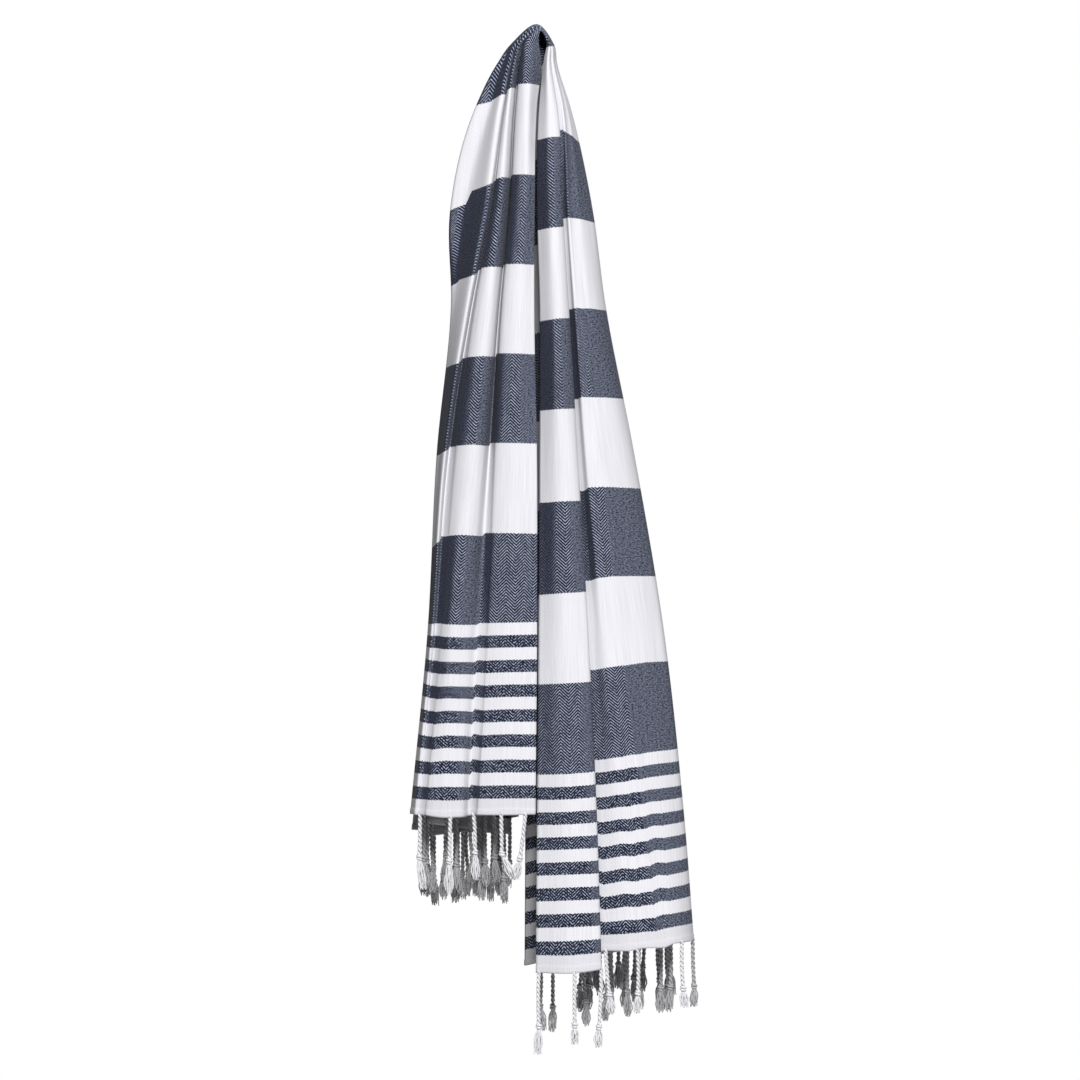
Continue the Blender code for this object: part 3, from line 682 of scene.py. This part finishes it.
def add_tassel(curve, number, root, cord, tuft, knot_shift, end_shift, bow, phase):
    """Two twisted plies, a knot wound round them, and the loose threads of the tuft."""
    whole = cord + tuft
    turn = 2 * math.pi / TWIST_LENGTH
    start = 5.1 * number + phase

    def axis(share):
        return cord_axis(root, cord, tuft, knot_shift, end_shift, bow, share)

    for ply in (0, math.pi):
        points, radii = [], []
        for step in range(PLY_STEPS + 1):
            down = -INSIDE_HEM + (cord + INSIDE_HEM + INSIDE_KNOT) * step / PLY_STEPS
            middle = axis(max(0, down) / whole)
            middle.z = root[2] - down
            angle = turn * down + ply + start
            points.append(middle + PLY_OFFSET * Vector((math.cos(angle), math.sin(angle), 0)))
            radii.append(PLY_RADIUS * mix(PLY_START, 1.0, min(1, (down + INSIDE_HEM) / PLY_SWELL)))
        add_thread(curve, points, radii)
    points = []
    for step in range(KNOT_STEPS + 1):
        part = step / KNOT_STEPS
        middle = axis((cord - 0.5 * KNOT_LENGTH + KNOT_LENGTH * part) / whole)
        angle = 2 * math.pi * KNOT_TURNS * part + start
        wide = KNOT_RADIUS * math.sin(math.pi * mix(0.2, 0.9, part)) ** 0.5
        points.append(middle + wide * Vector((math.cos(angle), 0.8 * math.sin(angle), 0)))
    add_thread(curve, points, [KNOT_THREAD] * len(points))
    for thread in range(TUFT_THREADS):
        angle = 2.4 * thread + start
        out = math.sqrt((thread + 0.5) / TUFT_THREADS)
        length = 1 - TUFT_UNEVENNESS * (0.5 + 0.5 * math.sin(7.3 * thread + number))
        points, radii = [], []
        for step in range(TUFT_STEPS + 1):
            part = step / TUFT_STEPS
            share = (cord + 1 + (tuft - 1) * part * length) / whole
            swell = out * mix(TUFT_NECK, TUFT_WIDTH, math.sin(0.5 * math.pi * min(1, 1.5 * part)) ** 1.2)
            swell *= 1 - 0.25 * max(0, part - 0.7) / 0.3
            curl = TUFT_CURL * math.sin(9 * part + 3 * thread)
            points.append(axis(share) + Vector((swell * math.cos(angle) + curl,
                                                FLATNESS * swell * math.sin(angle), 0)))
            radii.append(TUFT_THREAD_RADIUS * (1.15 if part < 0.85 else 0.8))
        add_thread(curve, points, radii)


def hidden_roots(edge):
    """Where the cords behind the front layer start, spread over each layer of the hem."""
    first = FRONT_COLUMNS
    roots = []
    for name, drops, count in TURNS:
        last = min(first + sum(LAYER_CELLS), len(edge) - 1)
        layer = edge[first:last + 1]
        arcs = np.concatenate([[0], np.cumsum(np.linalg.norm(np.diff(layer, axis=0), axis=1))])
        for number in range(count):
            way = arcs[-1] * (number + 0.5) / count
            roots.append([np.interp(way, arcs, layer[:, axis]) for axis in range(3)])
        first = last
    return roots


def root_under(edge, x):
    """The point of the front layer's hem at x, on the side that shows."""
    front = edge[:FRONT_COLUMNS + 1]
    spot = int(np.argmin(np.abs(front[:, 0] - x) + 0.3 * np.maximum(0, front[:, 1] - SEEN_HEM_Y)))
    return front[spot]


def make_fringe(fall, rows):
    """The cords of one hem, as one piece."""
    name = "towel_fringe_" + fall
    edge = rows[0] if fall == "short" else rows[-1]
    front_cords, phase = FRINGES[fall]
    curve = bpy.data.curves.new(name, "CURVE")
    curve.dimensions = "3D"
    curve.bevel_depth = MM
    curve.bevel_resolution = 1
    curve.use_fill_caps = True
    number = 0
    for x, cord, tuft, knot_shift, end_shift in front_cords:
        add_tassel(curve, number, root_under(edge, x), cord, tuft, knot_shift, end_shift,
                   FRONT_BOW * sway(number, phase), phase)
        number += 1
    for root in hidden_roots(edge):
        cord = HIDDEN_CORD[0] * (1 + HIDDEN_UNEVENNESS * sway(number, phase + 2))
        knot_shift = HIDDEN_KNOT_SHIFT * sway(number, phase)
        end_shift = knot_shift + HIDDEN_END_SHIFT * sway(number, phase + 1)
        add_tassel(curve, number, root, cord, HIDDEN_CORD[1], knot_shift, end_shift,
                   HIDDEN_BOW * sway(number, phase + 3), phase)
        number += 1
    fringe = bpy.data.objects.new(name, curve)
    bpy.context.collection.objects.link(fringe)
    bpy.ops.object.select_all(action="DESELECT")
    fringe.select_set(True)
    bpy.context.view_layer.objects.active = fringe
    bpy.ops.object.convert(target="MESH")
    return bpy.context.active_object


# ---------------------------------------------------------------- materials

MATH = "ShaderNodeMath"
VECTOR_MATH = "ShaderNodeVectorMath"
RANGE = "ShaderNodeMapRange"
MIX = "ShaderNodeMix"
SMOOTH = "SMOOTHSTEP"

# The yarns' colours, each from its dark places to its light ones.
NAVY_YARN = ("#060a16", "#121a30")
WHITE_YARN = ("#d3d2d9", "#dfdfe3")
CORD_YARN = ("#c8c8cd", "#dfdfe1")
WARP_FLOAT = "#a6acc0"       # white warp over navy weft
HERRINGBONE_WIDTH = 8.5      # of one column of zig-zags; the columns run along the warp
# From one diagonal line of the twill to the next, down the warp.  The real ones are about 1.5 apart,
# too fine to show, so they are drawn coarser.
TWILL_PITCH = 3.0
STRIPE_STEP = 0.35           # how far the twill's lines step over the edge of a stripe
# How often each unevenness of the yarns changes for a millimetre across the cloth and along it, and how
# much finer detail it has.
UNEVENNESS = (
    ((0.9, 0.02, 1), 3.0),   # streaks down the warp
    ((0.45, 0.9, 1), 3.0),   # slubs in the weft
    ((0.6, 0.6, 1), 1.0),    # breaks in the lines
    ((0.14, 0.05, 1), 1.0),  # patches where the lines are fainter
)


def linear(code):
    """A colour given as an sRGB hex value, made linear."""
    parts = [int(code[place:place + 2], 16) / 255 for place in (1, 3, 5)]
    return tuple(part / 12.92 if part <= 0.04045 else ((part + 0.055) / 1.055) ** 2.4
                 for part in parts) + (1.0,)


def feed(node, inputs):
    """Feeds a node's inputs: a list from the first one on, or a dict by number or name.  An output, or a
    node for its first output, is linked, None is left alone, and anything else is the input's value."""
    for spot, given in inputs.items() if isinstance(inputs, dict) else enumerate(inputs):
        if isinstance(given, bpy.types.Node):
            given = given.outputs[0]
        if isinstance(given, bpy.types.NodeSocket):
            node.id_data.links.new(given, node.inputs[spot])
        elif given is not None:
            node.inputs[spot].default_value = given


def add_node(tree, kind, inputs=(), **settings):
    """Adds a node with its settings and inputs."""
    node = tree.nodes.new(kind)
    for key, value in settings.items():
        setattr(node, key, value)
    feed(node, inputs)
    return node


def new_material(name):
    made = bpy.data.materials.new(name)
    made.use_nodes = True
    tree = made.node_tree
    return made, tree, tree.nodes["Principled BSDF"]


def cotton_cloth():
    """Thin yarn-dyed cotton, woven in a herringbone twill: the warp is white, and the weft is white or
    navy in stripes.  It is matt, with a soft nap.  The white warp floats show as fine zig-zag lines on
    the navy, and run together into a bluish heather where the cloth is turned to the side.  Its colour
    also holds painted shade on the steep sides, the hem and the layers inside the bundle, and painted light
    on the heather."""
    made, tree, shader = new_material("herringbone_cotton")
    cut = add_node(tree, "ShaderNodeUVMap", uv_map="cut")
    scaled = add_node(tree, VECTOR_MATH, {0: cut, "Scale": 1 / MM}, operation="SCALE")
    parts = add_node(tree, "ShaderNodeSeparateXYZ", [scaled])
    across, lengthwise = parts.outputs[0], parts.outputs[1]

    # The twill: diagonal lines that change side from column to column.
    column = add_node(tree, MATH, [across, HERRINGBONE_WIDTH], operation="PINGPONG")
    diagonal = add_node(tree, MATH, [lengthwise, column], operation="ADD")
    turn = add_node(tree, MATH, [diagonal, 2 * math.pi / TWILL_PITCH], operation="MULTIPLY")
    wave = add_node(tree, MATH, [turn], operation="SINE")
    twill = add_node(tree, MATH, [wave, 0.5, 0.5], operation="MULTIPLY_ADD")

    uneven = []
    for scale, detail in UNEVENNESS:
        place = add_node(tree, "ShaderNodeMapping", {0: scaled, "Scale": scale})
        uneven.append(add_node(tree, "ShaderNodeTexNoise", {0: place, "Scale": 1.0, "Detail": detail}))
    warp_streaks, weft_slubs, breaks, patches = uneven

    # The stripes, measured from the nearer hem, with the twill's steps along their edges.
    to_hem = add_node(tree, MATH, [lengthwise, 0.5 * CLOTH_LENGTH], operation="PINGPONG")
    stepped = add_node(tree, MATH, [wave, STRIPE_STEP, to_hem], operation="MULTIPLY_ADD")
    in_border = add_node(tree, MATH, [stepped, BORDER], operation="LESS_THAN")
    past_hem = add_node(tree, MATH, [stepped, PLAIN_HEM], operation="GREATER_THAN")
    bands = []
    for first, height in ((PLAIN_HEM, NARROW_STRIPE), (BORDER, WIDE_STRIPE)):
        beyond = add_node(tree, MATH, [stepped, first], operation="SUBTRACT")
        pairs = add_node(tree, MATH, [beyond, 2 * height], operation="DIVIDE")
        in_pair = add_node(tree, MATH, [pairs], operation="FRACT")
        bands.append(add_node(tree, MATH, [in_pair, 0.5], operation="LESS_THAN"))
    narrow_band, wide_band = bands
    narrow_in_border = add_node(tree, MATH, [narrow_band, in_border], operation="MULTIPLY")
    narrow = add_node(tree, MATH, [narrow_in_border, past_hem], operation="MULTIPLY")
    wide_in_border = add_node(tree, MATH, [wide_band, in_border], operation="MULTIPLY")
    wide = add_node(tree, MATH, [wide_band, wide_in_border], operation="SUBTRACT")
    navy = add_node(tree, MATH, [narrow, wide], operation="ADD")

    # How far the cloth is turned to the side, and to which side.
    turned = add_node(tree, "ShaderNodeAttribute", attribute_name="turned").outputs["Fac"]
    to_left = add_node(tree, RANGE, [turned, -0.6, -0.36, 0.92, 0.0], interpolation_type=SMOOTH)
    to_right = add_node(tree, RANGE, [turned, 0.22, 0.42, 0.0, 0.92], interpolation_type=SMOOTH)
    blurred = add_node(tree, MATH, [to_left, to_right], operation="MAXIMUM")
    # Painted light: the navy's heather is darker where the cloth is turned to the left and lighter where it
    # is turned to the right.
    painted_side_light = add_node(tree, RANGE, [turned, -0.5, 0.3, 0.04, 0.2], interpolation_type=SMOOTH)
    # Painted shade: cloth that is turned far to the side is drawn darker, as the rolls shade each other's
    # steep sides.
    aside = add_node(tree, MATH, [turned], operation="ABSOLUTE")
    painted_slant_shade = add_node(tree, RANGE, [aside, 0.4, 0.9, 1.0, 0.74], interpolation_type=SMOOTH)
    # The hem is folded and sewn double. Painted shade: its colour is drawn a little darker than the
    # cloth's.
    painted_hem_shade = add_node(tree, MATH, [past_hem, 0.1, 0.9], operation="MULTIPLY_ADD")
    painted_slant_and_hem_shade = add_node(tree, MATH, [painted_slant_shade, painted_hem_shade], operation="MULTIPLY")
    # Painted shade: the layers inside the bundle are drawn darker, as little light finds its way to them.
    inside = add_node(tree, "ShaderNodeAttribute", attribute_name="sheltered").outputs["Fac"]
    painted_bundle_shade = add_node(tree, MATH, [inside, -0.58, 1.0], operation="MULTIPLY_ADD")
    # All the painted shade together.
    shade = add_node(tree, MATH, [painted_slant_and_hem_shade, painted_bundle_shade], operation="MULTIPLY")

    # Navy weft with the white warp floats on it.
    line_share = add_node(tree, RANGE, [twill, 0.55, 0.95, 0.0, 1.0], interpolation_type=SMOOTH)
    strength = add_node(tree, RANGE, [patches, 0.35, 0.65, 0.6, 0.85])
    even_line = add_node(tree, MATH, [line_share, strength], operation="MULTIPLY")
    broken = add_node(tree, RANGE, [breaks, 0.35, 0.65, 0.45, 1.55])
    open_line = add_node(tree, MATH, [even_line, broken], operation="MULTIPLY")
    speck = add_node(tree, RANGE, [weft_slubs, 0.35, 0.65, 0.0, 2.0])
    # The narrow stripes are too low for whole zig-zags: there the lines break up into specks.
    coarse = add_node(tree, RANGE, [breaks, 0.42, 0.62, 0.0, 1.7])
    border_line = add_node(tree, MATH, [even_line, coarse], operation="MULTIPLY")
    lines = add_node(tree, MIX, {0: in_border, 2: open_line, 3: border_line})
    heather = add_node(tree, MATH, [painted_side_light, speck], operation="MULTIPLY")
    floats = add_node(tree, MIX, {0: blurred, 2: lines, 3: heather})
    weft = add_node(tree, MIX, {0: speck, 6: linear(NAVY_YARN[0]), 7: linear(NAVY_YARN[1])},
                    data_type="RGBA")
    navy_cloth = add_node(tree, MIX, {0: floats, 6: weft.outputs[2], 7: linear(WARP_FLOAT)},
                          data_type="RGBA")
    streak = add_node(tree, RANGE, [warp_streaks, 0.3, 0.7, 0.0, 1.0])
    white = add_node(tree, MIX, {0: streak, 6: linear(WHITE_YARN[0]), 7: linear(WHITE_YARN[1])},
                     data_type="RGBA")
    twill_shade = add_node(tree, RANGE, [twill, 0.0, 1.0, 0.94, 1.0])
    white_cloth = add_node(tree, VECTOR_MATH, {0: white.outputs[2], "Scale": twill_shade},
                           operation="SCALE")
    striped = add_node(tree, MIX, {0: navy, 6: white_cloth, 7: navy_cloth.outputs[2]}, data_type="RGBA")
    colour = add_node(tree, VECTOR_MATH, {0: striped.outputs[2], "Scale": shade}, operation="SCALE")

    # The height of the twill's lines and of the uneven yarns, in millimetres.
    slub_height = add_node(tree, MATH, [weft_slubs, 0.10], operation="MULTIPLY")
    twill_height = add_node(tree, MATH, [twill, 0.10, slub_height], operation="MULTIPLY_ADD")
    height = add_node(tree, MATH, [warp_streaks, 0.08, twill_height], operation="MULTIPLY_ADD")
    bump = add_node(tree, "ShaderNodeBump", {"Height": height, "Strength": 0.6, "Distance": MM})
    rough = add_node(tree, RANGE, [twill, 0.0, 1.0, 0.97, 0.86])
    feed(shader, {"Base Color": colour, "Normal": bump, "Roughness": rough, "Specular IOR Level": 0.25,
                  "Sheen Weight": 0.05, "Sheen Roughness": 0.5})
    return made


def cotton_yarn():
    """The white warp ends, twisted into cords: bleached cotton yarn, matt, with fine fibres.  The cords
    inside the bundle have painted shade.
    """
    made, tree, shader = new_material("twisted_cotton_yarn")
    place = add_node(tree, "ShaderNodeTexCoord").outputs["Object"]
    stretched = add_node(tree, "ShaderNodeMapping", {0: place, "Scale": (1500.0, 1500.0, 300.0)})
    fibres = add_node(tree, "ShaderNodeTexNoise", {0: stretched, "Scale": 1.0, "Detail": 3.0})
    spread = add_node(tree, RANGE, [fibres, 0.3, 0.7])
    colour = add_node(tree, MIX, {0: spread, 6: linear(CORD_YARN[0]), 7: linear(CORD_YARN[1])},
                      data_type="RGBA")
    # Painted shade: the cords inside the bundle are drawn darker, as little light finds its way to them.
    to_wall = add_node(tree, "ShaderNodeSeparateXYZ", [place]).outputs[1]
    in_front = add_node(tree, RANGE, [to_wall, -0.026, -0.014, 1.0, 0.5])
    behind = add_node(tree, RANGE, [to_wall, 0.03, 0.038, 0.5, 1.0])
    painted_bundle_shade = add_node(tree, MATH, [in_front, behind], operation="MAXIMUM")
    cord_colour_with_painted_shade = add_node(tree, VECTOR_MATH, {0: colour.outputs[2], "Scale": painted_bundle_shade}, operation="SCALE")
    bump = add_node(tree, "ShaderNodeBump", {"Height": fibres, "Strength": 0.6, "Distance": 0.3 * MM})
    feed(shader, {"Base Color": cord_colour_with_painted_shade, "Normal": bump, "Roughness": 0.9, "Specular IOR Level": 0.25,
                  "Sheen Weight": 0.12})
    return made


# ---------------------------------------------------------------- the studio

PHOTO_SIZE = 1080            # pixels of the photograph, each way
PIXEL = 0.95                 # millimetres of the towel for one of its pixels
HANG_PIXEL = (543, 30)       # where the hang point is in the photograph
CAMERA_DISTANCE = 4.0        # metres, from the front folds
FRONT_FOLDS = 0.035          # how far these are in front of the hang point
AMBIENT = 0.04               # strength of the white room's light; the camera sees plain white
# The lamps: place and width in metres, and power.
KEY_LAMP = ((0.7, -5.0, 4.3), 2.6, 740)
REAR_LAMP = ((0.8, 5.0, 3.0), 4.0, 300)
LAMP_TARGET = (0, 0, -0.5)   # the middle of the towel
FLOOR = -1.65                # a peg on a wall is about as high
FLOOR_SIZE = 3.0


def make_camera():
    """A long lens straight in front, framed as the photograph is."""
    middle = Vector(((0.5 * PHOTO_SIZE - HANG_PIXEL[0]) * PIXEL, 0,
                     (HANG_PIXEL[1] - 0.5 * PHOTO_SIZE) * PIXEL)) * MM
    lens = bpy.data.cameras.new("camera")
    lens.sensor_width = 36.0
    lens.lens = lens.sensor_width * CAMERA_DISTANCE / (PHOTO_SIZE * PIXEL * MM)
    camera = bpy.data.objects.new("camera", lens)
    camera.location = middle + Vector((0, -CAMERA_DISTANCE - FRONT_FOLDS, 0))
    camera.rotation_euler = (math.radians(90), 0, 0)
    bpy.context.scene.collection.objects.link(camera)
    bpy.context.scene.camera = camera


def softbox(name, place, size, power):
    """A round lamp that looks at the middle of the towel."""
    light = bpy.data.lights.new(name, "AREA")
    light.shape = "DISK"
    light.size = size
    light.energy = power
    lamp = bpy.data.objects.new(name, light)
    lamp.location = place
    lamp.rotation_euler = (Vector(place) - Vector(LAMP_TARGET)).to_track_quat("Z", "Y").to_euler()
    bpy.context.scene.collection.objects.link(lamp)


def make_studio():
    """A white room with a lamp in front and one behind, and a pale matt floor that throws light up."""
    world = bpy.data.worlds.new("studio")
    world.use_nodes = True
    tree = world.node_tree
    tree.nodes.clear()
    seen = add_node(tree, "ShaderNodeLightPath").outputs["Is Camera Ray"]
    soft = add_node(tree, "ShaderNodeBackground", {"Color": linear("#ffffff"), "Strength": AMBIENT})
    white = add_node(tree, "ShaderNodeBackground", {"Color": linear("#ffffff"), "Strength": 1.0})
    both = add_node(tree, "ShaderNodeMixShader", [seen, soft, white])
    add_node(tree, "ShaderNodeOutputWorld", [both])
    bpy.context.scene.world = world
    softbox("key", *KEY_LAMP)
    softbox("rear", *REAR_LAMP)
    bpy.ops.object.select_all(action="DESELECT")
    bpy.ops.mesh.primitive_plane_add(size=FLOOR_SIZE, location=(0, 0, FLOOR))
    floor = bpy.context.active_object
    floor.name = "floor"
    paint, tree, shader = new_material("pale_floor")
    feed(shader, {"Base Color": linear("#f0f0f0"), "Roughness": 0.8})
    floor.data.materials.append(paint)
    bpy.context.scene.view_settings.view_transform = "Standard"


# ---------------------------------------------------------------- the towel

make_camera()
make_studio()
folded = Cloth()
towel = make_cloth(folded)
towel.data.materials.clear()
towel.data.materials.append(cotton_cloth())
yarn = cotton_yarn()
for fall in ("short", "long"):
    fringe = make_fringe(fall, folded.rows)
    fringe.data.materials.append(yarn)
    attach(fringe, "root")
    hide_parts(f"fringe_{fall}_end")
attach(towel, "root")
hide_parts("cloth")
